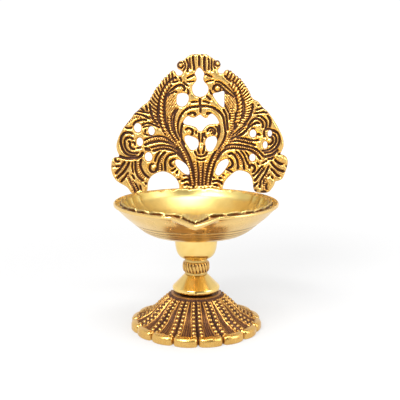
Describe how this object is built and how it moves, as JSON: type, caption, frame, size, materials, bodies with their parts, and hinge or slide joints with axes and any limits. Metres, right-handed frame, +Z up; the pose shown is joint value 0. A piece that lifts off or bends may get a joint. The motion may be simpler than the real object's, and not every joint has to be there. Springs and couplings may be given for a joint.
{
  "type": "standing oil lamp",
  "caption": "Small standing oil lamp: petalled foot, turned stem, shallow dish with a leaf spout for the wick, and a pierced scrollwork back panel.",
  "frame": {"origin": "on the plane that the foot stands on, at the axis of the stem", "axes": "+Z up along the stem, -Y toward the tip of the wick spout, +Y toward the back panel, +X to the right seen from the front"},
  "size_m": [0.0994, 0.1, 0.1401],
  "materials": {
    "antique_brass": "cast brass with dark patina in the recesses and buffed high points",
    "polished_brass": "lathe-turned and polished",
    "dish_brass": "turned, satin polished inside and out",
    "zinc_steel": "zinc-plated steel"
  },
  "bodies": {
    "stand": {"foot": "antique_brass", "tie_rod": "zinc_steel", "seat_washer": "antique_brass", "stem_cone": "polished_brass", "lower_ring": "polished_brass", "collar": "antique_brass", "neck_ring": "polished_brass"},
    "cup": {"cup": "polished_brass"},
    "dish": {"dish": "dish_brass", "back_panel": "antique_brass", "panel_washers": "zinc_steel", "panel_screws": "zinc_steel"},
    "washer": {"foot_washer": "zinc_steel"},
    "nut": {"foot_nut": "zinc_steel"}
  },
  "joints": [
    {"name": "dish_turn", "type": "hinge", "parent": "stand", "child": "cup", "pos_m": [0, 0, 0.04], "axis": [0, 0, 1], "range_deg": [0, 2880]},
    {"name": "dish_rise", "type": "slide", "parent": "cup", "child": "dish", "axis": [0, 0, 1], "range_m": [0, 0.008]},
    {"name": "nut_turn", "type": "hinge", "parent": "stand", "child": "washer", "pos_m": [0, 0, 0.012], "axis": [0, 0, -1], "range_deg": [0, 2160]},
    {"name": "nut_travel", "type": "slide", "parent": "washer", "child": "nut", "axis": [0, 0, -1], "range_m": [0, 0.006]}
  ],
  "couplings": [
    {"joint": "dish_rise", "follows": "dish_turn", "m_per_rad": 0.00015915},
    {"joint": "nut_travel", "follows": "nut_turn", "m_per_rad": 0.00015915}
  ]
}
